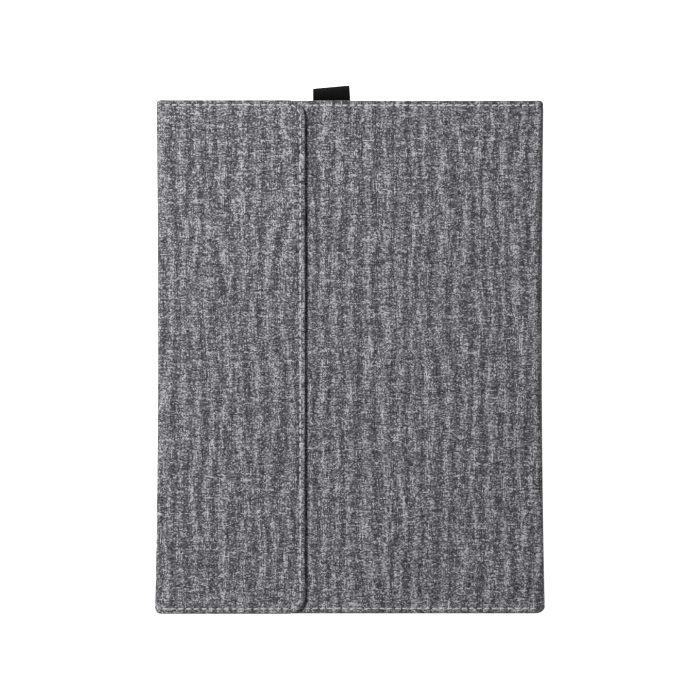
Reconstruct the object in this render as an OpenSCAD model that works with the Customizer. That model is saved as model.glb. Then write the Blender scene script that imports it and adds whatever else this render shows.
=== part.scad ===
// Folio case for a 10 to 11 inch tablet, with a built-in wireless keyboard.
// It lies closed, flat on its rear cover. X runs from the closure side (-X) to the spine (+X),
// Y runs along the spine, and Z is up. The origin is the centre of the rear cover's outer face.

/* [Case] */
// Width of the closed case, from closure side to spine
case_w = 201; // [199:1:206]
// Length of the closed case, along the spine
case_l = 266; // [264:1:272]
// Thickness of the rear cover, the front cover and the spine
cover_t = 2.2; // [2:0.1:2.8]
// Outside radius of the fabric fold at each side of the spine
spine_fold_r = 3.3; // [3:0.1:4]
// Outside radius of the fabric fold at each side of the closure side
side_fold_r = 2.8; // [2.6:0.1:3.2]
// Thickness of the outer fabric
skin_t = 0.4; // [0.3:0.05:0.5]
// Thickness of the lining
lining_t = 0.4; // [0.3:0.05:0.5]

/* [Closure flap] */
// Reach of the flap from the closure side over the front cover
flap_reach = 77.4; // [60:1:95]
// Thickness of the flap and of the closure side
flap_t = 2; // [1.8:0.1:2.4]
// Radius of the flap's two free corners
flap_corner_r = 9; // [4:0.5:10]

/* [Tablet stand] */
// Longest side of the tablet that the corner clips take
tablet_l = 251.5; // [240:0.5:253]
// Shorter side of the tablet that the corner clips take
tablet_w = 180.5; // [170:0.5:182]
// Thickest tablet that fits under the clips' lips
tablet_t = 7.6; // [6:0.1:8.5]
// Thickness of the stand board with its lining
stand_t = 1.8; // [1.6:0.1:2.4]
// Thickness of the prop leg that folds out behind the stand board
prop_t = 1.4; // [1.2:0.1:1.8]
// Depth of the stand board, which the tablet reaches past
stand_d = 109; // [104:1:110]
// Distance from the stand's hinge to the prop's hinge, and from there to the prop's foot
prop_l = 55; // [50:1:55]
// Length of each leg of a corner clip
clip_l = 24; // [16:1:32]

/* [Keyboard] */
// Width of the keyboard, along the spine
board_w = 250; // [248:1:251]
// Depth of the keyboard, away from the spine
board_d = 168; // [160:1:170]
// Thickness of the keyboard without its keys
board_t = 5.2; // [5.2:0.1:5.8]
// Key pitch along the spine
key_pitch = 16.2; // [15.8:0.1:16.2]
// Key pitch away from the spine
row_pitch = 15.6; // [15:0.1:16]
// Height of the keys above the keyboard's deck
key_rise = 1.2; // [0.9:0.1:1.4]
// Travel of a key
key_travel = 1.3; // [1:0.1:1.4]
// Width of the touchpad
pad_w = 96; // [80:1:100]
// Depth of the touchpad
pad_d = 52; // [44:1:54]

/* [Pen loop] */
// Width of the elastic strap
loop_w = 19; // [15:1:25]
// How far the loop stands out of the case's end
loop_out = 7.6; // [7.4:0.1:9]
// Thickness of the elastic
loop_t = 1.1; // [1:0.1:1.3]

/* [Hidden] */
$fn = 48;

// Clearances
slack = 0.05;      // between a stiffener and its fabric
air = 0.2;         // between two panels that lie on each other
crease_gap = 0.3;  // from a fabric fold to the panel that swings on it

// Plan sizes
half_w = case_w / 2;
half_l = case_l / 2;
cover_half_l = half_l - 0.4;         // the front cover is a little shorter than the flap over it
turned_edge = 2.2;                   // width of fabric folded over each stiffener's edge
lining_inset = 1.2;                  // the lining stops this far from the panel's edge
cover_x1 = half_w - spine_fold_r;    // covers end where the spine's folds begin
cover_x0 = -half_w + 6;               // clear of the closure side
rear_x0 = -half_w + side_fold_r;
flap_x1 = -half_w + flap_reach;

// Levels, from the table up
rear_z1 = cover_t;
prop_z0 = rear_z1 + air;
prop_z1 = prop_z0 + prop_t;
stand_z0 = prop_z1 + air;
stand_z1 = stand_z0 + stand_t;
bay_z1 = stand_z1 + tablet_t;
lip_t = 0.8;
key_z0 = bay_z1 + lip_t + 0.3;
deck_z0 = key_z0 + key_rise;
deck_t = 1;
deck_z1 = deck_z0 + deck_t;
board_z1 = deck_z0 + board_t;
cover_z0 = board_z1 + 0.3;
cover_z1 = cover_z0 + cover_t;
flap_z0 = cover_z1 + air;
flap_z1 = flap_z0 + flap_t;

// Tablet stand
stand_hinge_x = half_w - 8;
stand_hinge_z = (prop_z0 + prop_z1) / 2;
prop_hinge_x = stand_hinge_x - prop_l;
prop_tip_x = prop_hinge_x - prop_l;
bay_x1 = stand_hinge_x - 4.25;
bay_x0 = bay_x1 - tablet_w;
bay_half_l = tablet_l / 2;
clip_wall = 2;
clip_lip = 2.5;
stand_x1 = bay_x1 + clip_wall + 0.5;
stand_x0 = stand_x1 - stand_d;
stand_half_l = bay_half_l + clip_wall + 0.5;
tape_r = 0.6;
tape_w = 2;        // from the prop's hinge to the panel behind it
open_tilt = 63;    // the stand's angle when its prop's foot is on the catch plate

// Keyboard plan
board_x1 = stand_hinge_x - 4;
board_x0 = board_x1 - board_d;
board_half_w = board_w / 2;
board_wall = 1.2;
floor_t = 0.8;
key_area_x1 = board_x1 - 6;
function_row_d = 10.4;
key_gap_y = 1.8;   // between neighbouring keys along a row
key_gap_x = 1.6;   // between rows
hole_play = 0.25;  // round each key in the deck
flange = 0.5;      // flange round each key, behind the deck
flange_t = 0.6;
flange_z0 = deck_z1 + 0.1;
dome_h = key_travel + 0.4;
dome_z1 = flange_z0 + flange_t + slack + dome_h;
dome_sheet_t = 0.2;
membrane_t = 0.25;
pad_x1 = key_area_x1 - function_row_d - 5 * row_pitch - 10;
pad_x0 = pad_x1 - pad_d;
pad_box = [pad_x0, -pad_w / 2, pad_x1, pad_w / 2];
screw_spots = [for (x = [board_x1 - 2.9, board_x0 + 4.5], y = [-119, -45, 45, 119]) [x, y]];

// Key widths of each row, in pitches, from the left hand's end (-Y)
ones = function(n) [for (i = [1:n]) 1];
ROWS = [
    ones(15),
    concat(ones(13), [2]),
    concat([1.5], ones(12), [1.5]),
    concat([1.75], ones(11), [2.25]),
    concat([2.25], ones(10), [2.75]),
    [1.25, 1, 1.25, 1.25, 5.25, 1, 1, 1, 1, 1]
];
SPACE_KEY = 4;  // its place in the last row

function sum_to(list, n) = n <= 0 ? 0 : list[n - 1] + sum_to(list, n - 1);
function row_x1(row) = key_area_x1 - (row == 0 ? 0 : function_row_d + (row - 1) * row_pitch);
function row_depth(row) = row == 0 ? function_row_d : row_pitch;
// A key's outline as [x0, y0, x1, y1]
function key_box(row, i) =
    let (y0 = (sum_to(ROWS[row], i) - 7.5) * key_pitch, x1 = row_x1(row))
    [x1 - row_depth(row) + key_gap_x / 2, y0 + key_gap_y / 2,
     x1 - key_gap_x / 2, y0 + ROWS[row][i] * key_pitch - key_gap_y / 2];
function grown(b, by) = [b[0] - by, b[1] - by, b[2] + by, b[3] + by];

function arc(cx, cy, r, a0) =
    let (steps = r > 2 ? 5 : 2)
    [for (i = [0:steps]) [cx + r * cos(a0 + 90 * i / steps), cy + r * sin(a0 + 90 * i / steps)]];
// A rectangle with its corners rounded by r0 on the -X side and r1 on the +X side
function rounded(b, r0, r1) = concat(
    arc(b[2] - r1, b[3] - r1, r1, 0), arc(b[0] + r0, b[3] - r0, r0, 90),
    arc(b[0] + r0, b[1] + r0, r0, 180), arc(b[2] - r1, b[1] + r1, r1, 270));

module plate(b, z0, z1, r0 = 1, r1 = -1) {
    translate([0, 0, min(z0, z1)])
        linear_extrude(abs(z1 - z0)) polygon(rounded(b, r0, r1 < 0 ? r0 : r1));
}

module rod(x, z, r, y0, y1) {
    translate([x, y1, z]) rotate([90, 0, 0]) cylinder(h = y1 - y0, r = r);
}

// ---- Fabric-covered panels: an outer skin turned over a stiffener, and a lining ----

// Corner radius of the stiffener under a skin's corner of radius r
function board_r(r) = max(r - turned_edge, 1);

module panel_skin(b, z_out, z_in, r0, r1) {
    s = sign(z_in - z_out);
    difference() {
        plate(b, z_out, z_in, r0, r1);
        plate(grown(b, -turned_edge + slack), z_out + s * skin_t, z_in - s * lining_t,
              board_r(r0), board_r(r1));
        plate(grown(b, -lining_inset), z_in - s * lining_t, z_in + s, max(r0 - 1, 0.3), max(r1 - 1, 0.3));
    }
}

module panel_board(b, z_out, z_in, r0 = 1, r1 = 1) {
    s = sign(z_in - z_out);
    plate(grown(b, -turned_edge), z_out + s * skin_t, z_in - s * lining_t, board_r(r0), board_r(r1));
}

module panel_lining(b, z_out, z_in, r0, r1) {
    s = sign(z_in - z_out);
    plate(grown(b, -lining_inset - slack), z_in - s * lining_t, z_in, max(r0 - 1, 0.3), max(r1 - 1, 0.3));
}

// A fold of fabric: part of a tube about (x, z), from angle a0 over a_turn
module fold(x, z, r, a0, a_turn, half) {
    wall = skin_t + lining_t;
    translate([x, half, z]) rotate([90, 0, 0]) rotate([0, 0, a0])
        rotate_extrude(angle = a_turn) translate([r - wall, 0]) square([wall, 2 * half]);
}
function fold_turn(r) = 90 - crease_gap / r * 180 / PI;

// ---- Rear cover ----

rear_box = [rear_x0, -half_l, cover_x1, half_l];

module rear_skin() { color("dimgray") panel_skin(rear_box, 0, rear_z1, 1, 1); }
module catch_plate_shape(by = 0) {
    x = stand_hinge_x - 2 * prop_l * cos(open_tilt);
    plate([x - 7 - by, -60 - by, x + 7 + by, 60 + by], rear_z1 - lining_t - 0.5, rear_z1 - lining_t + by, 1);
}
module rear_board() {
    color("tan") difference() {
        panel_board(rear_box, 0, rear_z1);
        catch_plate_shape(slack);
    }
}
module catch_plate() { color("silver") catch_plate_shape(); }
module rear_lining() { color("#2b2b2e") panel_lining(rear_box, 0, rear_z1, 1, 1); }
module rear_spine_crease() {
    color("dimgray")
        fold(cover_x1, spine_fold_r, spine_fold_r, -90, fold_turn(spine_fold_r), half_l - 0.5);
}
module rear_side_crease() {
    turn = fold_turn(side_fold_r);
    color("dimgray") fold(rear_x0, side_fold_r, side_fold_r, 270 - turn, turn, half_l - 0.5);
}
// Padded strip that the tablet's far side lies on, level with the stand board
module rest_pad() {
    color("#2b2b2e")
        plate([bay_x0 - 0.5, -stand_half_l, stand_x0 - 5, stand_half_l], rear_z1, stand_z1, 5);
}
// Tape glued to the rear lining; its bead is the axis that the stand board swings on
module stand_hinge_tape() {
    half = stand_half_l - 6;
    color("#202022") union() {
        rod(stand_hinge_x, stand_hinge_z, tape_r, -half, half);
        plate([stand_hinge_x, -half, cover_x1 - 2, half], rear_z1, rear_z1 + 0.5, 0.2);
    }
}

// ---- Tablet stand ----

stand_box = [stand_x0, -stand_half_l, stand_x1, stand_half_l];

module stand_board() { color("tan") plate(stand_box, stand_z0, stand_z1 - lining_t, 5); }
module stand_lining() { color("#2b2b2e") plate(stand_box, stand_z1 - lining_t, stand_z1, 5); }
module stand_back_panel() {
    color("dimgray")
        plate([prop_hinge_x + tape_w, -stand_half_l + 4, stand_hinge_x - 1.3, stand_half_l - 4],
              prop_z0, stand_z0, 0.6);
}
// Tape on the stand's back; its bead is the axis that the prop leg swings on
module prop_hinge_tape() {
    half = stand_half_l - 12;
    color("#202022") union() {
        rod(prop_hinge_x, stand_hinge_z, tape_r, -half, half);
        plate([prop_hinge_x, -half, prop_hinge_x + tape_w, half], stand_hinge_z + 0.3, stand_z0, 0.1);
    }
}

// A rubber clip round the bay's corner at the spine, with a lip over the tablet's edge
module corner_clip(at_right) {
    w = clip_wall;
    sy = at_right ? -1 : 1;
    color("#232326") translate([bay_x1, -sy * bay_half_l, 0]) scale([-1, sy, 1]) difference() {
        plate([-w, -w, clip_l, clip_l], stand_z1, bay_z1 + lip_t, 3.5);
        plate([0, 0, clip_l + 9, clip_l + 9], stand_z1 - 1, bay_z1, 2);
        plate([clip_lip, clip_lip, clip_l + 9, clip_l + 9], bay_z1 - 1, bay_z1 + 3, 3);
    }
}
// A rubber clip for the tablet's end, near the stand board's free edge, with the same lip
module end_clip(at_right) {
    sy = at_right ? -1 : 1;
    color("#232326") translate([stand_x0 + 1, -sy * bay_half_l, 0]) scale([1, sy, 1]) difference() {
        plate([0, -clip_wall, clip_l, clip_lip], stand_z1, bay_z1 + lip_t, 1.2);
        translate([-1, 0, stand_z1 - 1]) cube([clip_l + 2, clip_lip + 1, tablet_t + 1]);
    }
}

// ---- Prop leg ----

prop_half = stand_half_l - 12;
prop_split = prop_tip_x + 2.5;
module prop_magnet_spots(by) {
    for (y = [-50, 0, 50])
        plate([prop_split + 1 - by, y - 9 - by, prop_split + 7 + by, y + 9 + by],
              prop_z0 + 0.2 - by, prop_z1 - 0.2 + by, 0.5);
}
module prop_panel() {
    color("dimgray") difference() {
        plate([prop_split, -prop_half, prop_hinge_x - 1, prop_half], prop_z0, prop_z1, 0.5);
        prop_magnet_spots(slack);
    }
}
module prop_magnets() { color("silver") prop_magnet_spots(0); }
module prop_foot() {
    color("#18181a") union() {
        rod(prop_tip_x, stand_hinge_z, prop_t / 2, -prop_half, prop_half);
        plate([prop_tip_x, -prop_half, prop_split, prop_half], prop_z0, prop_z1, 0.01);
    }
}

// ---- Spine: the panel is drawn flat and stood up ----

spine_box = [spine_fold_r, -half_l, cover_z1 - spine_fold_r, half_l];

module spine_skin() {
    color("dimgray") rotate([0, -90, 0]) panel_skin(spine_box, -half_w, -half_w + cover_t, 1, 1);
}
module spine_board() {
    color("tan") rotate([0, -90, 0]) panel_board(spine_box, -half_w, -half_w + cover_t);
}
module spine_lining() {
    color("#2b2b2e") rotate([0, -90, 0]) panel_lining(spine_box, -half_w, -half_w + cover_t, 1, 1);
}

// ---- Front cover ----

cover_box = [cover_x0, -cover_half_l, cover_x1, cover_half_l];

module closure_magnet_spots(z0, z1, by = 0) {
    for (y = [-80, 0, 80])
        plate([flap_x1 - 20 - by, y - 14 - by, flap_x1 - 9 + by, y + 14 + by], z0, z1, 1);
}
module cover_skin() { color("dimgray") panel_skin(cover_box, cover_z1, cover_z0, flap_corner_r, 1); }
module cover_board() {
    color("tan") difference() {
        panel_board(cover_box, cover_z1, cover_z0, flap_corner_r, 1);
        closure_magnet_spots(cover_z0, cover_z1, slack);
    }
}
module keeper_plates() {
    color("silver") closure_magnet_spots(cover_z0 + lining_t, cover_z1 - skin_t);
}
module cover_lining() { color("#2b2b2e") panel_lining(cover_box, cover_z1, cover_z0, flap_corner_r, 1); }
module cover_spine_crease() {
    r = spine_fold_r;
    turn = fold_turn(r);
    color("dimgray") fold(cover_x1, cover_z1 - r, r, 90 - turn, turn, cover_half_l - 0.5);
}

// Elastic strap folded into a loop, its two ends sewn under the front cover's end
module pen_loop() {
    r = loop_out / 2;
    y = half_l + r;
    z_high = cover_z1 - r - 0.2;
    z_low = z_high - 2;
    tab_y = board_half_w + 1.5;
    color("#1b1a1d") translate([-loop_w, 0, 0]) rotate([90, 0, 90]) linear_extrude(loop_w) union() {
        difference() {
            union() {
                for (z = [z_low, z_high]) translate([y, z]) circle(r);
                translate([y - r, z_low]) square([2 * r, z_high - z_low]);
            }
            for (z = [z_low, z_high]) translate([y, z]) circle(r - loop_t);
            translate([y - r + loop_t, z_low]) square([2 * (r - loop_t), z_high - z_low]);
        }
        translate([tab_y, cover_z0 - 2 * loop_t]) square([half_l + loop_t / 2 - tab_y, 2 * loop_t]);
    }
}

// ---- Keyboard ----

board_box = [board_x0, -board_half_w, board_x1, board_half_w];
board_corner_r = 7;

module keyboard_pads() {
    color("#3a3a3a") for (x = [board_x0 + 30, board_x1 - 45])
        plate([x - 10, -100, x + 10, 100], board_z1, cover_z0, 2);
}

// Plan boxes of the parts that come out through the -Y wall
port_x = board_x0 + 40;
port_w = 8.94;
port_h = 3.16;
port_z0 = deck_z1 + 0.12;
slider_x = board_x0 + 18;
slider_travel = 2.4;
slider_w = 3.6;
slider_z = deck_z1 + 1.8;

module keyboard_base() {
    inner = grown(board_box, -board_wall);
    color("#2f3033") difference() {
        union() {
            difference() {
                plate(board_box, deck_z1, board_z1, board_corner_r);
                plate(inner, deck_z1 - 1, board_z1 - floor_t, board_corner_r - board_wall);
            }
            for (p = screw_spots) translate([p[0], p[1], deck_z1]) cylinder(h = board_t - deck_t, r = 1.9);
        }
        for (p = screw_spots) translate([p[0], p[1], 0]) {
            translate([0, 0, deck_z1 - 1]) cylinder(h = board_t + 2, r = 0.75);
            translate([0, 0, board_z1 - 0.5]) cylinder(h = 2, r = 1.6);
        }
        translate([port_x - port_w / 2 - 0.1, -board_half_w - 1, deck_z1 - 1])
            cube([port_w + 0.2, 3, board_z1 - floor_t - deck_z1 + 1]);
        translate([slider_x - slider_w / 2 - 0.2, -board_half_w - 1, slider_z - 0.8])
            cube([slider_w + slider_travel + 0.4, 3, 1.6]);
    }
}

module light_spots(r, z0, z1) {
    for (y = [88, 94, 100]) translate([board_x1 - 3.1, y, z0]) cylinder(h = z1 - z0, r = r);
}

module keyboard_deck() {
    color("#3a3b3e") difference() {
        plate(board_box, deck_z0, deck_z1, board_corner_r);
        for (row = [0:5], i = [0:len(ROWS[row]) - 1])
            plate(grown(key_box(row, i), hole_play), deck_z0 - 1, deck_z1 + 1, 1.3);
        plate(grown(pad_box, hole_play), deck_z0 - 1, deck_z1 + 1, 2.3);
        for (p = screw_spots) translate([p[0], p[1], deck_z1 - 0.6]) cylinder(h = 2, r = 0.75);
        light_spots(0.8, deck_z0 - 1, deck_z1 + 1);
    }
}

module keys(row, from, to) {
    color("#1f2023") for (i = [from:to]) {
        plate(key_box(row, i), key_z0, flange_z0, 1.2);
        plate(grown(key_box(row, i), flange), flange_z0, flange_z0 + flange_t, 1.2);
    }
}
module function_keys() { keys(0, 0, 14); }
module number_keys() { keys(1, 0, 13); }
module upper_letter_keys() { keys(2, 0, 13); }
module home_letter_keys() { keys(3, 0, 12); }
module lower_letter_keys() { keys(4, 0, 11); }
module modifier_keys() {
    keys(5, 0, SPACE_KEY - 1);
    keys(5, SPACE_KEY + 1, 9);
}
module space_bar() { keys(5, SPACE_KEY, SPACE_KEY); }

sheet_box = [row_x1(5) - row_pitch, -board_half_w + 4, key_area_x1, board_half_w - 4];
membrane_z0 = dome_z1 + dome_sheet_t;
backing_z0 = membrane_z0 + membrane_t;
module dome_sheet() {
    color("gainsboro") union() {
        plate(sheet_box, dome_z1, membrane_z0, 1);
        for (row = [0:5], i = [0:len(ROWS[row]) - 1]) {
            b = key_box(row, i);
            translate([(b[0] + b[2]) / 2, (b[1] + b[3]) / 2, dome_z1 - dome_h])
                cylinder(h = dome_h + dome_sheet_t / 2, r = 2.4);
        }
    }
}
module membrane_circuit() { color("lightgreen") plate(sheet_box, membrane_z0, backing_z0, 1); }
module backing_plate() { color("silver") plate(sheet_box, backing_z0, board_z1 - floor_t, 1); }

module battery() {
    color("lightsteelblue")
        plate([pad_x0 + 2, pad_w / 2 + 6, pad_x1 - 2, board_half_w - 12], deck_z1 + 0.3, dome_z1 + 0.5, 1.5);
}
// The main board reaches the charging port; each chip is [x, y, side]
port_len = 5.5;
module circuit_board() {
    color("seagreen") union() {
        plate([port_x - 8, -board_half_w + port_len + 0.1, pad_x1, -pad_w / 2 - 8],
              dome_z1 - 0.5, dome_z1 + 0.3, 0.5);
        for (chip = [[8, -84, 7], [22, -90, 5], [20, -72, 4]])
            translate([port_x + chip[0], chip[1], dome_z1 - 1.5]) cube([chip[2], chip[2], 1.1]);
    }
}
module charge_port() {
    color("silver") translate([port_x, -board_half_w + 0.1, port_z0]) difference() {
        translate([-port_w / 2, 0, 0]) cube([port_w, port_len, port_h]);
        translate([-port_w / 2 + 0.3, -1, 0.3]) cube([port_w - 0.6, port_len, port_h - 0.6]);
    }
}
module indicator_lights() { color("white") light_spots(0.7, deck_z0, deck_z1 + 0.6); }
module bumpers() {
    color("#141416") {
        for (y = [-117, 117]) translate([board_x0 + 8, y, key_z0]) cylinder(h = key_rise, r = 3.5);
        for (y = [-112, 112]) translate([board_x1 - 3.2, y, key_z0]) cylinder(h = key_rise, r = 2);
    }
}
module keyboard_screws() {
    color("silver") for (p = screw_spots) translate([p[0], p[1], 0]) union() {
        translate([0, 0, deck_z1 - 0.5]) cylinder(h = board_z1 - deck_z1, r = 0.7);
        translate([0, 0, board_z1 - 0.5]) cylinder(h = 0.45, r = 1.5);
    }
}

module touchpad_plate() { color("#34353a") plate(pad_box, deck_z0, deck_z1 - 0.1, 2); }
module touchpad_sensor() {
    color("seagreen") plate(grown(pad_box, -1), deck_z1 - 0.1, deck_z1 + 0.5, 2);
}
module touchpad_switch() {
    color("silver") translate([pad_x0 + 8, 0, 0]) union() {
        translate([0, 0, deck_z1 + 0.9]) cylinder(h = 0.7, r = 1.5);
        translate([-3, -3, deck_z1 + 1.5]) cube([6, 6, board_z1 - floor_t - deck_z1 - 1.5]);
    }
}
module power_slider() {
    color("#b0b0b0") union() {
        translate([slider_x - slider_w / 2, -board_half_w - 0.7, slider_z - 0.6])
            cube([slider_w, 3.4, 1.2]);
        translate([slider_x - slider_w / 2 - 1, -board_half_w + board_wall + 0.2, slider_z - 1])
            cube([slider_w + 2, 1.6, 2]);
    }
}

// ---- Closure side and flap ----

side_box = [side_fold_r, -half_l, flap_z1 - side_fold_r, half_l];

module side_skin() {
    color("dimgray") rotate([0, -90, 0]) panel_skin(side_box, half_w, half_w - flap_t, 1, 1);
}
module side_board() {
    color("tan") rotate([0, -90, 0]) panel_board(side_box, half_w, half_w - flap_t);
}
module side_lining() {
    color("#2b2b2e") rotate([0, -90, 0]) panel_lining(side_box, half_w, half_w - flap_t, 1, 1);
}

flap_box = [rear_x0, -half_l, flap_x1, half_l];

module flap_skin() { color("dimgray") panel_skin(flap_box, flap_z1, flap_z0, 1, flap_corner_r); }
module flap_board() {
    color("tan") difference() {
        panel_board(flap_box, flap_z1, flap_z0, 1, flap_corner_r);
        closure_magnet_spots(flap_z0, flap_z1, slack);
    }
}
module flap_magnets() {
    color("silver") closure_magnet_spots(flap_z0 + lining_t, flap_z1 - skin_t);
}
module flap_lining() { color("#2b2b2e") panel_lining(flap_box, flap_z1, flap_z0, 1, flap_corner_r); }
module flap_crease() {
    color("dimgray")
        fold(rear_x0, flap_z1 - side_fold_r, side_fold_r, 90, fold_turn(side_fold_r), half_l - 0.5);
}

rear_skin();
rear_board();
rear_lining();
rear_spine_crease();
rear_side_crease();
stand_hinge_tape();
catch_plate();
rest_pad();
stand_board();
stand_lining();
stand_back_panel();
prop_hinge_tape();
corner_clip(false);  // corner_clip_left
corner_clip(true);  // corner_clip_right
end_clip(false);  // end_clip_left
end_clip(true);  // end_clip_right
prop_panel();
prop_foot();
prop_magnets();
spine_skin();
spine_board();
spine_lining();
cover_skin();
cover_board();
cover_lining();
cover_spine_crease();
keeper_plates();
pen_loop();
keyboard_pads();
keyboard_base();
keyboard_deck();
dome_sheet();
membrane_circuit();
backing_plate();
battery();
circuit_board();
charge_port();
indicator_lights();
bumpers();
keyboard_screws();
touchpad_switch();
touchpad_plate();
touchpad_sensor();
power_slider();
function_keys();
number_keys();
upper_letter_keys();
home_letter_keys();
lower_letter_keys();
modifier_keys();
space_bar();
side_skin();
side_board();
side_lining();
flap_skin();
flap_board();
flap_lining();
flap_magnets();
flap_crease();
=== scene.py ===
import math
import bpy
import numpy as np
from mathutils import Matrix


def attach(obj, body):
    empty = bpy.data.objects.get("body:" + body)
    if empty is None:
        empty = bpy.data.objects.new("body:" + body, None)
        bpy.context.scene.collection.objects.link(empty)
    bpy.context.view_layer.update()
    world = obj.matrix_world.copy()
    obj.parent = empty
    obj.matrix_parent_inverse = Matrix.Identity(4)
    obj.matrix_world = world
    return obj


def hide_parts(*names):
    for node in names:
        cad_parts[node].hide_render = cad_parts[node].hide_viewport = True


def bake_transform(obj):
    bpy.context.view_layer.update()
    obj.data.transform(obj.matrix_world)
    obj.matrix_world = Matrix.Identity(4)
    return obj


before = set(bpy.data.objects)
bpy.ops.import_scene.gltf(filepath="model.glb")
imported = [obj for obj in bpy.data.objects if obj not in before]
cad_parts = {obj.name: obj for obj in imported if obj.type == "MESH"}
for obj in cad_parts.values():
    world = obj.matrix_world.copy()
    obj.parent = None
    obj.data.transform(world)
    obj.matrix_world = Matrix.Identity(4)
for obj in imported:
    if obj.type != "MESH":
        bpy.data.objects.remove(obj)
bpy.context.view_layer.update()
MM = 0.001

# ---- Rear cover ----
# A fibre board wrapped in heathered grey canvas, lying on the table. The canvas runs on
# round the folds at both sides, where there is no board and it is thinner. The long threads
# of the weave run along the case, and thick pale slubs cross them.

HALF_W, HALF_L = 100.5, 133.0
SPINE_X, CLOSURE_X = 97.2, -97.7           # where the boards stop and the folds begin
SPINE_R, CLOSURE_R = 3.3, 2.8
RIM = 1.25                                 # the lining stops this far inside the canvas
SEAM_INSET = 2.6                           # the stitched line, from the edge
EDGE_STEPS = [0, .04, .15, .33, .6, 1, 1.6, 2.1, 2.6, 3.1, 3.8, 5.2]


def ease(x):
    x = np.clip(x, 0, 1)
    return x * x * (3 - 2 * x)


def settle(x, y, z):
    # the sides of a used case bow in a little, and its corners are drawn in by the wrapped canvas
    side = np.sign(x)
    bow = np.where(y > 0, .75, 1.55) * (y / HALF_L) ** 2 - .85
    out_x = x + side * bow * ease((abs(x) - 70) / 28)
    reach = np.where(y > 0, 2.6, np.where(x > 0, 5.2, 3.1))
    drop = np.where(y > 0, 1.0, np.where(x > 0, 2.6, 2.1))
    near = np.clip((abs(x) - (HALF_W - reach)) / reach, 0, 1.1) ** 2.2
    out_y = y - np.sign(y) * drop * near * ease(1 - (HALF_L - abs(y)) / 10)
    return np.stack([out_x, out_y, z], -1) * MM


def flat_run(x, z, dx, dz, nx, nz):
    # a straight cut through a panel's outer face: start, direction and outward normal in X and Z
    def at(s):
        s = np.asarray(s, float)
        return x + s * dx, z + s * dz, nx + 0 * s, nz + 0 * s
    return at


def folded_run(cx, cz, r, start, turn):
    # a quarter turn about (cx, cz) and the flat face that follows it
    bend = r * math.pi / 2

    def at(s):
        s = np.asarray(s, float)
        a = math.radians(start) + turn * np.clip(s / bend, 0, 1) * math.pi / 2
        end = math.radians(start) + turn * math.pi / 2
        past = np.clip(s - bend, 0, None)
        return (cx + r * np.cos(a) - turn * math.sin(end) * past,
                cz + r * np.sin(a) + turn * math.cos(end) * past, np.cos(a), np.sin(a))
    return at


def place(at, s, t, up):
    x, z, nx, nz = at(s)
    return settle(x + nx * up, t, z + nz * up)


def steps(a, b, free_a, free_b, wide, extra=()):
    low = [a + e for e in EDGE_STEPS] if free_a else [a]
    high = [b - e for e in EDGE_STEPS] if free_b else [b]
    low = [v for v in low if v < (a + b) / 2]
    high = [v for v in high if v > (a + b) / 2]
    n = max(1, round((min(high) - max(low)) / wide))
    between = np.linspace(max(low), min(high), n + 1)
    return np.unique(np.round(np.concatenate([low, between, high, list(extra)]), 4))


def mesh_object(name, verts, faces, uv=None, sharp=40):
    used, packed = np.unique(np.concatenate([np.ravel(f) for f in faces]), return_inverse=True)
    mesh = bpy.data.meshes.new(name)
    cut, lists = 0, []
    for f in faces:
        f = np.asarray(f)
        lists += packed[cut:cut + f.size].reshape(f.shape).tolist()
        cut += f.size
    mesh.from_pydata(verts.reshape(-1, 3)[used].tolist(), [], lists)
    if uv is not None:
        layer = mesh.uv_layers.new(name="cloth")
        corners = np.empty(len(mesh.loops), np.int32)
        mesh.loops.foreach_get("vertex_index", corners)
        layer.data.foreach_set("uv", uv.reshape(-1, 2)[used][corners].astype(np.float32).ravel())
    mesh.shade_smooth()
    mesh.set_sharp_from_angle(angle=math.radians(sharp))
    o = bpy.data.objects.new(name, mesh)
    bpy.context.scene.collection.objects.link(o)
    return o


def quads(index, flip):
    q = np.stack([index[:-1, :-1], index[1:, :-1], index[1:, 1:], index[:-1, 1:]], -1).reshape(-1, 4)
    return q[:, ::-1] if flip else q


def ripple(s, t, seed):
    # hand-made unevenness, a few hundredths of a millimetre, over tens of millimetres
    return (np.sin(s / 17 + seed) * np.sin(t / 23 + 2 * seed) + np.sin(s / 9 - seed + t / 31)) / 2


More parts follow.
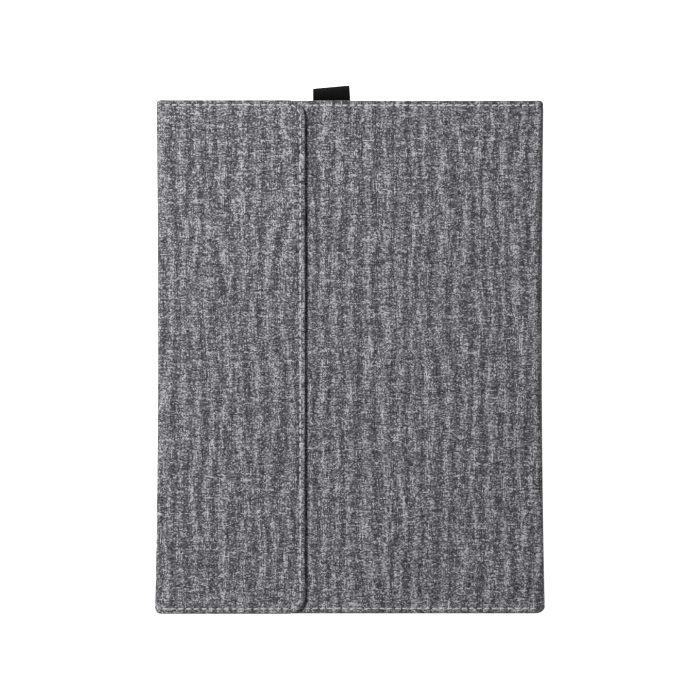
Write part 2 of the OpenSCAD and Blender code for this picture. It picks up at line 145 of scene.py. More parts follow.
def panel(name, at, length, half, thick, free=(False, False), corner=(1, 1), seam=0.0,
          thin=(0, 0), fold=0.0, u0=0.0, seed=0.0, edge=1.0, waves=.06, wide=2.5):
    # A slab of covered board in (s, t): s along the run, t along the case. Its free edges are
    # rounded, and where a fold begins it thins to the two layers of cloth.
    s = steps(0, length, *free, wide, np.linspace(0, fold, 9) if fold else ())
    if thin[1]:
        s = np.unique(np.round(np.concatenate([s, np.linspace(length - 3, length, 6)]), 4))
    t = steps(-half, half, True, True, wide)
    S, T = np.meshgrid(s, t, indexing="ij")
    d = half - abs(T)
    out_s, out_t = np.zeros_like(S), np.sign(T)     # which way the nearest edge lies
    for k, is_free in enumerate(free):
        if is_free:
            c = corner[k]
            to_end = S if k == 0 else length - S
            out_s = np.where(to_end < d, 2 * k - 1, out_s)
            out_t = np.where(to_end < d, 0, out_t)
            d = np.minimum(d, to_end)
            a = np.clip(((c - S) if k == 0 else (S - length + c)) / c, 0, 1)
            b = np.clip((abs(T) - half + c) / c, 0, 1)
            m, h = np.maximum(a, b), np.hypot(a, b)
            inside = (a > 0) & (b > 0)
            pull = np.where(inside, m / np.maximum(h, 1e-9), 1)
            out_s = np.where(inside, (2 * k - 1) * a / np.maximum(h, 1e-9), out_s)
            out_t = np.where(inside, np.sign(T) * b / np.maximum(h, 1e-9), out_t)
            new_s = c - c * a * pull if k == 0 else length - c + c * a * pull
            S = np.where(inside, new_s, S)
            T = np.where(inside, np.sign(T) * (half - c + c * b * pull), T)
            d = np.where(inside, c * (1 - m), d)
    body = np.full_like(S, thick)
    if thin[0]:
        body = thin[0] + (body - thin[0]) * ease((S - fold) / 2.5)
    if thin[1]:
        body = thin[1] + (body - thin[1]) * ease((length - S) / 2.5)
    f = np.sqrt(1 - (1 - np.clip(d / edge, 0, 1)) ** 2)
    groove = seam * np.exp(-((d - SEAM_INSET) / .45) ** 2)
    calm = ease((S - fold) / 12) * (1 if free[1] else ease((length - S) / 12))
    wave = waves * ripple(S + u0, T, seed) * calm
    top = -body / 2 * (1 - f) - groove + wave
    under = -body + body / 2 * (1 - f) + groove * .6 + wave
    verts = np.concatenate([place(at, S, T, top).reshape(-1, 3), place(at, S, T, under).reshape(-1, 3)])
    index = np.arange(S.size).reshape(S.shape)
    below = index + S.size
    below[:, 0], below[:, -1] = index[:, 0], index[:, -1]
    if free[0]:
        below[0] = index[0]
    if free[1]:
        below[-1] = index[-1]
    x, z, nx, nz = at(np.array([length * .5, length * .5 + .01]))
    flip = (-(z[1] - z[0]) * nx[0] + (x[1] - x[0]) * nz[0]) < 0
    faces = [quads(index, flip), quads(below, not flip)]
    for row, is_free, last in ((0, free[0], False), (-1, free[1], True)):
        if not is_free:
            q = np.stack([index[row, :-1], index[row, 1:], below[row, 1:], below[row, :-1]], -1)
            q = q[1:-1]
            faces.append(q if flip == last else q[:, ::-1])
            for e in (0, -1):   # the cap's two ends are triangles, where the faces meet
                j = (0, 1) if e == 0 else (-2, -1)
                tri = ([index[row, j[0]], index[row, j[1]], below[row, j[1]]] if e == 0
                       else [index[row, j[0]], index[row, j[1]], below[row, j[0]]])
                tri = np.array([tri])
                faces.append(tri if flip == last else tri[:, ::-1])
    # the cloth runs on over the edge, so its pattern does too
    round_edge = [body / 2 * (1 - f), body / 2 * (1 + f) + 2 * np.minimum(d, 3)]
    uv = [np.stack([S + u0 + out_s * e, T + out_t * e], -1).reshape(-1, 2) for e in round_edge]
    return mesh_object(name, verts, faces, np.concatenate(uv))


def seam_line(half, length, corner, start, inset=SEAM_INSET):
    # the stitched line: in along one end, round the free corner, down the free edge and back
    r = corner - inset
    quarter = np.linspace(0, math.pi / 2, 12)
    a = [(start, half - inset), (length - corner, half - inset)]
    b = [(length - corner + r * math.sin(q), half - corner + r * math.cos(q)) for q in quarter]
    top = np.array(a + b)
    return np.concatenate([top, top[::-1] * [1, -1]])


def stitches(name, at, lines, up, seed, pitch=3.85, long=2.85, wide=.8):
    rng = np.random.default_rng(seed)
    k, n = np.meshgrid(np.linspace(0, math.pi, 9), np.arange(10) * math.tau / 10, indexing="ij")
    along = -np.cos(k) * long / 2
    girth = np.sin(k) ** .55
    index = np.arange(90).reshape(9, 10)
    index = np.concatenate([index, index[:, :1]], 1)
    verts, faces, uvs, base = [], [], [], 0
    for line in lines:
        run = np.concatenate([[0], np.cumsum(np.hypot(*np.diff(line, axis=0).T))])
        count = int(run[-1] / pitch)
        for c in (np.arange(count) + .5) * run[-1] / count:
            p = [np.interp(c + rng.normal(0, .06), run, line[:, m]) for m in (0, 1)]
            q = [np.interp(c + .4, run, line[:, m]) - np.interp(c - .4, run, line[:, m]) for m in (0, 1)]
            a = math.atan2(q[1], q[0]) + rng.normal(0, .045)
            w = wide / 2 * rng.uniform(.92, 1.1)
            b = w * np.cos(n) * girth
            c_up = .24 * np.sin(n) * girth - .26 * (along / long * 2) ** 4
            s = p[0] + along * math.cos(a) - b * math.sin(a)
            t = p[1] + along * math.sin(a) + b * math.cos(a)
            verts.append(place(at, s, t, up + c_up).reshape(-1, 3))
            uvs.append(np.stack([along + 9 * rng.random(), b + 5 * n / math.tau], -1).reshape(-1, 2))
            faces.append(quads(index + base, False))
            base += 90
    return mesh_object(name, np.concatenate(verts), [np.concatenate(faces)], np.concatenate(uvs), 80)


class Shader:
    # one material, built node by node
    def __init__(self, name, color, rough, **fixed):
        self.m = bpy.data.materials.new(name)
        self.m.use_nodes = True
        self.tree = self.m.node_tree
        self.tree.nodes.clear()
        self.out = self.tree.nodes.new("ShaderNodeOutputMaterial")
        self.bsdf = self.tree.nodes.new("ShaderNodeBsdfPrincipled")
        self.tree.links.new(self.bsdf.outputs[0], self.out.inputs[0])
        self.bsdf.inputs["Base Color"].default_value = (*color, 1)
        self.bsdf.inputs["Roughness"].default_value = rough
        for key, value in fixed.items():
            self.bsdf.inputs[key.replace("_", " ")].default_value = value
        self.m.diffuse_color = (*color, 1)

    def put(self, kind, sockets=None, result=0, **settings):
        node = self.tree.nodes.new("ShaderNode" + kind)
        for key, value in settings.items():
            setattr(node, key, value)
        for key, value in (sockets or {}).items():
            if isinstance(value, bpy.types.NodeSocket):
                self.tree.links.new(value, node.inputs[key])
            else:
                node.inputs[key].default_value = value
        return node.outputs[result]

    def math(self, operation, a, b=0.0, c=0.0):
        return self.put("Math", {0: a, 1: b, 2: c}, operation=operation)

    def noise(self, x, y, scale=1.0, detail=0.0, z=0.0):
        v = self.put("CombineXYZ", {0: x, 1: y, 2: z})
        return self.put("TexNoise", {"Vector": v, "Scale": scale, "Detail": detail})

    def cloth(self):
        uv = self.put("UVMap", uv_map="cloth")
        split = self.tree.nodes.new("ShaderNodeSeparateXYZ")
        self.tree.links.new(uv, split.inputs[0])
        return split.outputs[0], split.outputs[1]

    def space(self, scale=1000.0):
        where = self.put("TexCoord", result=3)
        return self.put("VectorMath", {0: where, 3: scale}, operation="SCALE")

    def ramp(self, value, *stops):
        node = self.tree.nodes.new("ShaderNodeValToRGB")
        self.tree.links.new(value, node.inputs[0])
        while len(node.color_ramp.elements) < len(stops):
            node.color_ramp.elements.new(.5)
        for element, (pos, color) in zip(node.color_ramp.elements, stops):
            element.position = pos
            element.color = (*color, 1) if len(color) == 3 else color
        return node.outputs[0]

    def color(self, value):
        self.tree.links.new(value, self.bsdf.inputs["Base Color"])

    def rough(self, value):
        self.tree.links.new(value, self.bsdf.inputs["Roughness"])

    def bump(self, height, millimetres, strength=1.0):
        self.tree.links.new(
            self.put("Bump", {"Height": height, "Distance": millimetres * MM, "Strength": strength}),
            self.bsdf.inputs["Normal"])


WARP_STEP, WEFT_STEP = .55, .58            # thread spacing of the canvas


def grey(v, warm=0.0, cool=0.0):
    return (v * (1 + warm), v, v * (1 + cool))


# The long threads lie in columns a few millimetres wide, the crossing ones over and under them.
# Every thread has its own tone, with flecks along it and here and there a thick pale slub.
COLUMN_PITCH = 7.9
canvas = Shader("heathered canvas", grey(.12), .9, Sheen_Weight=.1, Sheen_Roughness=.5)
u, v = canvas.cloth()
wander = canvas.math("MULTIPLY_ADD", canvas.noise(u, v, .09, 1), 1.1, u)
warp = canvas.math("FLOOR", canvas.math("DIVIDE", wander, WARP_STEP))
drift = canvas.math("MULTIPLY_ADD", canvas.noise(u, v, .07, 1, 7.0), 1.3, v)
weft = canvas.math("FLOOR", canvas.math("DIVIDE", drift, WEFT_STEP))
warp_tone = canvas.noise(canvas.math("MULTIPLY", warp, 3.71), canvas.math("DIVIDE", v, 14.0), 1, 1)
weft_tone = canvas.noise(canvas.math("DIVIDE", u, 7.0), canvas.math("MULTIPLY", weft, 3.37), 1, 1, 4.0)
slub = canvas.put("MapRange", {
    0: canvas.noise(canvas.math("DIVIDE", u, 4.2), canvas.math("MULTIPLY", weft, 2.93), 1, 0, 9.0),
    1: .6, 2: .68})
slub_long = canvas.put("MapRange", {
    0: canvas.noise(canvas.math("MULTIPLY", warp, 2.57), canvas.math("DIVIDE", v, 6.0), 1, 0, 14.0),
    1: .6, 2: .7})
over = canvas.math("MODULO", canvas.math("ADD", warp, canvas.math("ADD", weft, 4000.0)), 2.0)
over = canvas.math("MAXIMUM", canvas.math("ABSOLUTE", over), slub)
over = canvas.math("MULTIPLY", over, canvas.math("SUBTRACT", 1.0, slub_long))
mostly_top = canvas.math("MULTIPLY_ADD", over, .3, .35)
tone = canvas.put("Mix", {0: mostly_top, 2: warp_tone, 3: weft_tone}, data_type="FLOAT")
warp_fleck = canvas.noise(canvas.math("MULTIPLY", warp, 5.37), canvas.math("DIVIDE", v, .8), 1, 2, 40.0)
weft_fleck = canvas.noise(canvas.math("DIVIDE", u, 1.2), canvas.math("MULTIPLY", weft, 5.91), 1, 2, 50.0)
mostly_top = canvas.math("MULTIPLY_ADD", over, .56, .22)
speck = canvas.put("Mix", {0: mostly_top, 2: warp_fleck, 3: weft_fleck}, data_type="FLOAT")
sway = canvas.math("MULTIPLY_ADD", canvas.noise(u, canvas.math("DIVIDE", v, 2.5), .045, 1, 21.0), 16.0, u)
column = canvas.math("SINE", canvas.math("MULTIPLY", sway, math.tau / COLUMN_PITCH))
patch = canvas.noise(canvas.math("DIVIDE", u, 4.0), canvas.math("DIVIDE", v, 16.0), 1, 1, 3.0)
light = canvas.math("MULTIPLY_ADD", tone, 1.5, -.25)
light = canvas.math("MULTIPLY_ADD", speck, 3.4, canvas.math("SUBTRACT", light, 1.7))
beat = canvas.math("MULTIPLY", column, canvas.math("MULTIPLY_ADD", patch, .22, -.01))
light = canvas.math("ADD", beat, light)
light = canvas.math("MULTIPLY_ADD", patch, .1, canvas.math("SUBTRACT", light, .05))
light = canvas.math("MULTIPLY_ADD", slub, .13, light)
light = canvas.math("MULTIPLY_ADD", slub_long, .16, light)
across_warp = canvas.math("SINE", canvas.math("MULTIPLY", wander, math.pi / WARP_STEP))
across_weft = canvas.math("SINE", canvas.math("MULTIPLY", drift, math.pi / WEFT_STEP))
yarn = canvas.put("Mix", {0: over, 2: canvas.math("ABSOLUTE", across_warp),
                          3: canvas.math("ABSOLUTE", across_weft)}, data_type="FLOAT")
dye = canvas.ramp(light, (0.0, grey(.011, .02, .11)), (.3, grey(.036, .02, .12)),
                         (.52, grey(.083, .02, .11)), (.76, grey(.22, .01, .09)), (1.0, grey(.44, .01, .07)))
# painted shade: the colour darkens towards each thread's edges and between threads, where the rounded yarns
# shade one another
painted_yarn_shade = canvas.math("MULTIPLY_ADD", canvas.math("POWER", yarn, .6), 1.0, .27)
canvas.color(canvas.put("VectorMath", {0: dye, 3: painted_yarn_shade}, operation="SCALE"))
yarn = canvas.math("MULTIPLY_ADD", slub, .5, yarn)
canvas.bump(yarn, .12, .8)

thread = Shader("pale thread", grey(.52), .6, Sheen_Weight=.2)
u, v = thread.cloth()
twist = thread.math("SINE", thread.math("MULTIPLY_ADD", u, 11.0, thread.math("MULTIPLY", v, 7.0)))
thread.color(thread.ramp(twist, (0.0, grey(.42, .01, .03)), (1.0, grey(.6, 0, .03))))
thread.bump(twist, .05)

suede = Shader("lining microfibre", grey(.034), .93, Sheen_Weight=.35, Sheen_Roughness=.4)
u, v = suede.cloth()
nap = suede.noise(u, v, 2.4, 4)
brushed = suede.noise(u, v, .06, 3, 5.0)
suede.color(suede.ramp(suede.math("MULTIPLY_ADD", brushed, .45, suede.math("MULTIPLY", nap, .62)),
                       (.36, grey(.013, 0, .06)), (.72, grey(.062, 0, .06))))
suede.bump(nap, .3, .9)


def dress(o, shader, body, cad):
    o.data.materials.append(shader.m)
    if isinstance(body, str):
        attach(o, body)
    else:
        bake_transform(o)
    if cad:
        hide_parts(*cad)
    return o


def finish_cad(node, shader, width=.2):
    # a hard part keeps its shape; its edges get the small radius that moulding or pressing leaves
    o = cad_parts[node]
    o.data.materials.clear()
    o.data.materials.append(shader.m)
    o.data.shade_smooth()
    weld = o.modifiers.new("weld", "WELD")
    weld.merge_threshold = 2e-6
    bevel = o.modifiers.new("bevel", "BEVEL")
    bevel.width = width * MM
    bevel.segments = 2
    bevel.limit_method = "ANGLE"
    bevel.angle_limit = math.radians(50)
    flat = o.modifiers.new("flat faces", "WEIGHTED_NORMAL")
    flat.weight = 100


fibre = Shader("pressed fibre board", (.36, .27, .17), .9)
grain = fibre.put("TexNoise", {"Vector": fibre.space(), "Scale": .9, "Detail": 4.0})
fibre.color(fibre.ramp(grain, (.3, (.27, .2, .12)), (.7, (.42, .32, .2))))
fibre.bump(grain, .05)

steel = Shader("bare steel", (.56, .56, .57), .32, Metallic=1.0)
drawn = steel.put("TexNoise", {
    "Vector": steel.put("VectorMath", {0: steel.space(), 1: (.2, 9.0, 2.0)}, operation="MULTIPLY"),
    "Scale": 1.0, "Detail": 2.0})
steel.rough(steel.put("MapRange", {0: drawn, 3: .22, 4: .45}))
steel.bump(drawn, .004)

rear_length = SPINE_X - CLOSURE_X
rear_face = flat_run(CLOSURE_X, 0, 1, 0, 0, -1)
rear = panel("rear_cover", rear_face, rear_length, HALF_L, 2.0, thin=(.8, .8), seam=.2, u0=0, seed=.4)
dress(rear, canvas, "rear", ["rear_skin"])
rear_ends = [np.array([(3.0, y), (rear_length - 3, y)]) for y in (HALF_L - SEAM_INSET, SEAM_INSET - HALF_L)]
dress(stitches("rear_stitches", rear_face, rear_ends, -.1, 11), thread, "rear", [])
lining = panel("rear_lining_cloth", flat_run(CLOSURE_X + RIM, 2.2, 1, 0, 0, 1), rear_length - 2 * RIM,
               HALF_L - RIM, .35, free=(True, True), corner=(1, 1), edge=.3, waves=.03)
dress(lining, suede, "rear", ["rear_lining"])
pad = panel("rest_pad_cushion", flat_run(-92.75, 5.8, 1, 0, 0, 1), 92.75 - 23.25, 128.25, 3.6,
            free=(True, True), corner=(6, 6), edge=2.2, waves=.1, seed=2)
dress(pad, suede, "rear", ["rest_pad"])
finish_cad("rear_board", fibre)
finish_cad("catch_plate", steel)

# ---- Spine ----
# Its own board stands on edge between two folds, so the case is a box when closed and the
# keyboard lies flat in front of the tablet when open. The canvas is one piece with the covers.


def strap(name, line, low, high, thick, ribs, across, lie):
    # a narrow woven strip: line is its middle seen edge-on, and its width runs from low to high
    line = np.array(line, float)
    run = np.concatenate([[0], np.cumsum(np.hypot(*np.diff(line, axis=0).T))])
    s = np.linspace(0, run[-1], max(8, int(run[-1] / .3)))
    p = np.stack([np.interp(s, run, line[:, 0]), np.interp(s, run, line[:, 1])], -1)
    for _ in range(6):
        p[1:-1] = (p[:-2] + 2 * p[1:-1] + p[2:]) / 4
    g = np.gradient(p, axis=0)
    g /= np.hypot(*g.T)[:, None]
    n = np.stack([-g[:, 1], g[:, 0]], -1)
    w = np.linspace(low, high, across)
    d = np.minimum(w - low, high - w)
    h = thick / 2 * np.sqrt(1 - (1 - np.clip(d / (thick * .5), 0, 1)) ** 2)
    h = h * (1 - .16 * (.5 + .5 * np.cos(w * math.tau / ribs))) if ribs else h
    P = [p[:, None, :] + k * n[:, None, :] * h[None, :, None] for k in (1, -1)]
    W = np.broadcast_to(w, P[0].shape[:2])
    verts = np.concatenate([lie(q[..., 0], q[..., 1], W).reshape(-1, 3) for q in P]) * MM
    index = np.arange(W.size).reshape(W.shape)
    below = index + W.size
    below[:, 0], below[:, -1] = index[:, 0], index[:, -1]
    faces = [quads(index, False), quads(below, True)]
    for row in (0, -1):
        q = np.stack([index[row, 1:-2], index[row, 2:-1], below[row, 2:-1], below[row, 1:-2]], -1)
        faces.append(q if row else q[:, ::-1])
    one = np.stack([np.broadcast_to(s[:, None], W.shape), W], -1).reshape(-1, 2)
    return mesh_object(name, verts, faces, np.concatenate([one, one]))


GUSSET_INSET = 1.6


def gusset(name, line, half, bodies, start, end):
    # the strip of lining over the inside of a fold
    o = strap(name, line, -half, half, .3, 0, 110, lambda p, q, w: settle(p, w, q) / MM)
    dress(o, suede, (*bodies, start, end), [])


COVER_FOLD_Z = 20.1                        # where the spine ends and the fold to the cover begins
spine_bend = SPINE_R * math.pi / 2
spine_face = folded_run(SPINE_X, SPINE_R, SPINE_R, -90, 1)
spine_length = spine_bend + COVER_FOLD_Z - SPINE_R
spine = panel("spine", spine_face, spine_length, HALF_L, 2.0, thin=(.8, .8), fold=spine_bend,
              seam=.2, u0=rear_length, seed=1)
dress(spine, canvas, ("rear", "spine", (97.2, 0, .8), (99.0, 0, 2.6)),
      ["spine_skin", "spine_board", "rear_spine_crease"])
lining = panel("spine_lining_cloth", flat_run(98.3, SPINE_R + RIM, 0, 1, -1, 0),
               COVER_FOLD_Z - SPINE_R - 2 * RIM, HALF_L - RIM, .35, free=(True, True), edge=.3, waves=.02)
dress(lining, suede, "spine", ["spine_lining"])

spine_inside = [(94.9, 2.15), (96.3, 2.05), (97.5, 1.45), (98.7, 1.9), (99.15, 3.0), (98.6, 4.3),
                (98.45, 5.6)]
gusset("rear_spine_gusset", spine_inside, HALF_L - GUSSET_INSET, ("rear", "spine"),
       (97.2, 0, .8), (99.0, 0, 2.6))

# ---- Front cover ----
# The widest panel: its canvas comes over the spine's rounded edge and its free edge is tucked
# under the closure flap. The keyboard is stuck to its inside with foam tape.

COVER_EDGE_X = -94.5
CORNER_R = 9                               # free corners of the front cover and the flap
cover_face = folded_run(SPINE_X, COVER_FOLD_Z, SPINE_R, 0, 1)
cover_length = spine_bend + SPINE_X - COVER_EDGE_X
cover_half = HALF_L - .05
cover = panel("front_cover", cover_face, cover_length, cover_half, 2.0, free=(False, True),
              corner=(CORNER_R, CORNER_R), thin=(.8, 0), fold=spine_bend, seam=.2,
              u0=rear_length + spine_length, seed=3)
dress(cover, canvas, ("spine", "cover", (99.7, 0, COVER_FOLD_Z), (97.9, 0, 21.9)),
      ["cover_skin", "cover_spine_crease"])
line = seam_line(cover_half, cover_length, CORNER_R, spine_bend + 1)
dress(stitches("front_cover_stitches", cover_face, [line], -.1, 12), thread, "cover", [])
lining = panel("front_cover_lining", flat_run(SPINE_X - RIM, 21.2, -1, 0, 0, -1),
               SPINE_X - COVER_EDGE_X - 2 * RIM, cover_half - RIM, .35,
               free=(True, True), corner=(1, CORNER_R - 1), edge=.3, waves=0)
dress(lining, suede, "cover", ["cover_lining"])
finish_cad("cover_board", fibre)
finish_cad("keeper_plates", steel)

cover_inside = [(98.45, 17.8), (98.6, 19.1), (99.15, 20.4), (98.7, 21.5), (97.5, 21.95), (96.3, 21.35),
                (94.9, 21.25)]
gusset("cover_spine_gusset", cover_inside, HALF_L - GUSSET_INSET, ("spine", "cover"),
       (99.7, 0, COVER_FOLD_Z), (97.9, 0, 21.9))

# ---- Closure side and flap ----
# A narrow board at the open side carries the flap, which reaches over the front cover and holds
# it shut with three flat magnets. Its free edge has two rounded corners and a line of stitches.

FLAP_EDGE_X = -23.1
FLAP_FOLD_Z = 22.8                         # where the closure side ends and the flap's fold begins
closure_bend = CLOSURE_R * math.pi / 2
side_face = folded_run(CLOSURE_X, CLOSURE_R, CLOSURE_R, -90, -1)
side_length = closure_bend + FLAP_FOLD_Z - CLOSURE_R
side = panel("closure_side", side_face, side_length, HALF_L, 1.8, thin=(.8, .8), fold=closure_bend,
             seam=.2, u0=-400, seed=5)
dress(side, canvas, ("rear", "side", (-97.7, 0, .8), (-99.1, 0, 2.2)),
      ["side_skin", "side_board", "rear_side_crease"])
lining = panel("side_lining_cloth", flat_run(-98.5, CLOSURE_R + RIM, 0, 1, 1, 0),
               FLAP_FOLD_Z - CLOSURE_R - 2 * RIM, HALF_L - RIM, .35, free=(True, True), edge=.3, waves=.02)
dress(lining, suede, "side", ["side_lining"])
flap_face = folded_run(CLOSURE_X, FLAP_FOLD_Z, CLOSURE_R, 180, -1)
flap_length = closure_bend + FLAP_EDGE_X - CLOSURE_X
flap = panel("closure_flap", flap_face, flap_length, HALF_L, 1.8, free=(False, True),
             corner=(CORNER_R, CORNER_R), thin=(.8, 0), fold=closure_bend, seam=.2,
             u0=side_length - 400, seed=7)
dress(flap, canvas, ("side", "flap", (-99.7, 0, FLAP_FOLD_Z), (-98.3, 0, 24.2)),
      ["flap_skin", "flap_crease"])
line = seam_line(HALF_L, flap_length, CORNER_R, closure_bend + 1)
dress(stitches("flap_stitches", flap_face, [line], -.1, 13), thread, "flap", [])
lining = panel("flap_lining_cloth", flat_run(CLOSURE_X + RIM, 23.6, 1, 0, 0, -1),
               FLAP_EDGE_X - CLOSURE_X - 2 * RIM, HALF_L - RIM, .35,
               free=(True, True), corner=(1, CORNER_R - 1), edge=.3, waves=0)
dress(lining, suede, "flap", ["flap_lining"])
finish_cad("flap_board", fibre)

nickel = Shader("nickel plate", (.62, .6, .57), .16, Metallic=1.0)
nickel.rough(nickel.put("MapRange", {
    0: nickel.put("TexNoise", {"Vector": nickel.space(), "Scale": 2.0, "Detail": 3.0}), 3: .08, 4: .3}))
for node in ("flap_magnets", "prop_magnets"):
    finish_cad(node, nickel)

side_inside = [(-95.6, 2.15), (-96.9, 2.05), (-97.9, 1.4), (-98.9, 1.75), (-99.4, 2.7), (-98.8, 3.9),
               (-98.6, 5.0)]
gusset("rear_side_gusset", side_inside, HALF_L - GUSSET_INSET, ("rear", "side"),
       (-97.7, 0, .8), (-99.1, 0, 2.2))
flap_inside = [(-98.6, 20.6), (-98.8, 21.7), (-99.4, 22.9), (-98.9, 23.85), (-97.9, 24.2), (-96.9, 23.75),
               (-95.6, 23.65)]
gusset("flap_gusset", flap_inside, HALF_L - GUSSET_INSET, ("side", "flap"),
       (-99.7, 0, FLAP_FOLD_Z), (-98.3, 0, 24.2))

# ---- Tablet stand and prop ----
# A microfibre-covered board with two rubber corner clips at the spine and two end clips. Behind
# it a second board folds out as a leg. Both swing on strips of woven tape.

stand = panel("stand_panel", flat_run(-18.25, 5.8, 1, 0, 0, 1), 109, 128.25, 1.8,
              free=(True, True), corner=(6, 6), edge=.8, waves=.04, seed=1)
dress(stand, suede, "stand", ["stand_board", "stand_lining"])
back = panel("stand_back", flat_run(39.5, 2.4, 1, 0, 0, -1), 51.7, 124.25, 1.6,
             free=(True, True), edge=.5, waves=.03)
dress(back, suede, "stand", ["stand_back_panel"])
leg = panel("prop_leg", flat_run(-15, 2.4, 1, 0, 0, -1), 51.5, 116.25, 1.4,
            free=(True, True), edge=.5, waves=.02)
dress(leg, suede, "prop", ["prop_panel"])

tape = Shader("woven tape", grey(.02, 0, .08), .8, Sheen_Weight=.2)
u, v = tape.cloth()
zigzag = tape.math("MULTIPLY", tape.math("PINGPONG", v, 1.5), 9.0)
herring = tape.math("SINE", tape.math("MULTIPLY_ADD", u, 9.0, zigzag))
tape.color(tape.ramp(herring, (0.0, grey(.014, 0, .08)), (1.0, grey(.03, 0, .08))))
tape.bump(herring, .06)


def tape_lie(p, q, w):
    return np.stack([p, w, q], -1)


stand_curl = [(95.1, 2.5), (93.5, 2.5), (92.7, 2.6), (92.1, 2.85), (92.0, 3.3), (92.4, 3.6), (92.9, 3.4),
              (92.9, 3.0)]
hinge = strap("stand_tape", stand_curl, -122, 122, .4, 0, 90, tape_lie)
dress(hinge, tape, "rear", ["stand_hinge_tape"])
prop_curl = [(39.4, 3.75), (38.3, 3.75), (37.6, 3.65), (37.1, 3.4), (37.0, 2.95), (37.4, 2.65), (37.9, 2.8),
             (37.9, 3.2)]
hinge = strap("prop_tape", prop_curl, -116, 116, .4, 0, 90, tape_lie)
dress(hinge, tape, "stand", ["prop_hinge_tape"])

rubber = Shader("matt rubber", grey(.017, 0, .1), .62)
fine = rubber.put("TexNoise", {"Vector": rubber.space(), "Scale": 2.2, "Detail": 3.0})
rubber.rough(rubber.put("MapRange", {0: fine, 3: .52, 4: .74}))
rubber.bump(fine, .02)
for node in ("corner_clip_left", "corner_clip_right", "end_clip_left", "end_clip_right", "bumpers"):
    finish_cad(node, rubber, .25)
finish_cad("prop_foot", rubber, .1)

# ---- Pen loop ----
# A strap of black ribbed elastic, its two ends sewn under the front cover's end. It stands a
# little further out at the spine side, where the strap was pulled when it was sewn.


def loop_lie(p, q, w):
    out = np.clip((p - HALF_L) / 7.6, 0, 1)
    along = (w + 19) / 19
    y = np.where(p > HALF_L, HALF_L + (p - HALF_L) * (.85 + .23 * along), p)
    return np.stack([w + .5 * (1 - out) * along - .25, y, q], -1)


def turn(cy, cz, r, a, b, n=9):
    angles = [math.radians(k) for k in np.linspace(a, b, n)]
    return [(cy + r * math.cos(k), cz + r * math.sin(k)) for k in angles]


middle = ([(126.6, 20.6), (129.5, 20.6), (132.0, 20.55), (133.1, 20.7), (133.7, 21.3), (134.5, 22.15)]
          + turn(136.8, 19.4, 3.25, 115, 0) + turn(136.8, 17.4, 3.25, 0, -130)
          + [(134.0, 16.2), (133.75, 17.6), (133.5, 18.9), (132.7, 19.4), (131.0, 19.45), (126.6, 19.45)])
elastic = Shader("ribbed elastic", grey(.0098, .06, .08), .95, Specular_IOR_Level=.12)
u, v = elastic.cloth()
picks = elastic.math("SINE", elastic.math("MULTIPLY", u, math.tau / .55))
ribs = elastic.math("COSINE", elastic.math("MULTIPLY", v, math.tau / 1.15))
# painted shade: the colour is darker in the valleys between the ribs and lighter on their crests, and the
# picks add their woven pattern
painted_rib_shade_and_picks = elastic.math("MULTIPLY_ADD", ribs, -.5, elastic.math("MULTIPLY", picks, .25))
elastic.color(elastic.ramp(painted_rib_shade_and_picks, (0.0, grey(.0015, .06, .08)), (.8, grey(.0085, .05, .08))))
elastic.bump(picks, .06)
loop = strap("pen_loop_strap", middle, -19, 0, 1.05, 1.15, 160, loop_lie)
dress(loop, elastic, "cover", ["pen_loop"])

# ---- Keyboard ----
# A slim wireless keyboard, stuck to the front cover's inside, so it faces down when closed. Its
# two halves are moulded in dark grey satin plastic; circuits and battery lie between them.

satin = Shader("satin plastic", grey(.034, 0, .12), .5, Specular_IOR_Level=.45)
grain = satin.put("TexNoise", {"Vector": satin.space(), "Scale": 6.0, "Detail": 2.0})
satin.rough(satin.put("MapRange", {0: grain, 3: .42, 4: .6}))
satin.bump(grain, .012)
for node in ("keyboard_base", "keyboard_deck"):
    finish_cad(node, satin, .25 if node == "keyboard_base" else .12)
smooth = Shader("touch surface", grey(.045, 0, .12), .42, Coat_Weight=.1, Coat_Roughness=.4)
frost = smooth.put("TexNoise", {"Vector": smooth.space(), "Scale": 9.0, "Detail": 1.0})
smooth.rough(smooth.put("MapRange", {0: frost, 3: .36, 4: .5}))
finish_cad("touchpad_plate", smooth, .15)
pale = Shader("pale satin plastic", grey(.33, 0, .02), .42)
flow = pale.put("TexNoise", {"Vector": pale.space(), "Scale": 5.0, "Detail": 2.0})
pale.rough(pale.put("MapRange", {0: flow, 3: .36, 4: .52}))
pale.bump(flow, .01)
finish_cad("power_slider", pale, .12)
milky = Shader("light pipe", (.78, .82, .8), .25, Subsurface_Weight=.3, Subsurface_Scale=.0008)
milky.color(milky.ramp(milky.put("TexNoise", {"Vector": milky.space(), "Scale": 1.5}),
                       (.3, (.7, .76, .73)), (.7, (.84, .87, .85))))
finish_cad("indicator_lights", milky, .08)
for node in ("backing_plate", "charge_port", "keyboard_screws", "touchpad_switch"):
    finish_cad(node, steel, .08)
silicone = Shader("dome silicone", grey(.62), .5, Subsurface_Weight=.2, Subsurface_Scale=.001)
cloud = silicone.put("TexNoise", {"Vector": silicone.space(), "Scale": .7, "Detail": 2.0})
silicone.color(silicone.ramp(cloud, (.3, grey(.56)), (.7, grey(.68))))
finish_cad("dome_sheet", silicone, .06)
film = Shader("circuit film", (.42, .55, .48), .3)
tracks = film.put("TexWave", {"Vector": film.space(), "Scale": .35, "Distortion": 2.0, "Detail": 1.0})
film.color(film.ramp(tracks, (.55, (.42, .55, .48)), (.6, (.66, .67, .66))))
finish_cad("membrane_circuit", film, .05)
mask = Shader("solder mask", (.012, .11, .045), .35)
tracks = mask.put("TexBrick", {"Vector": mask.space(), "Scale": .4, "Mortar Size": .03,
                               "Color1": (.012, .11, .045, 1), "Color2": (.01, .095, .04, 1),
                               "Mortar": (.03, .2, .08, 1)})
mask.color(tracks)
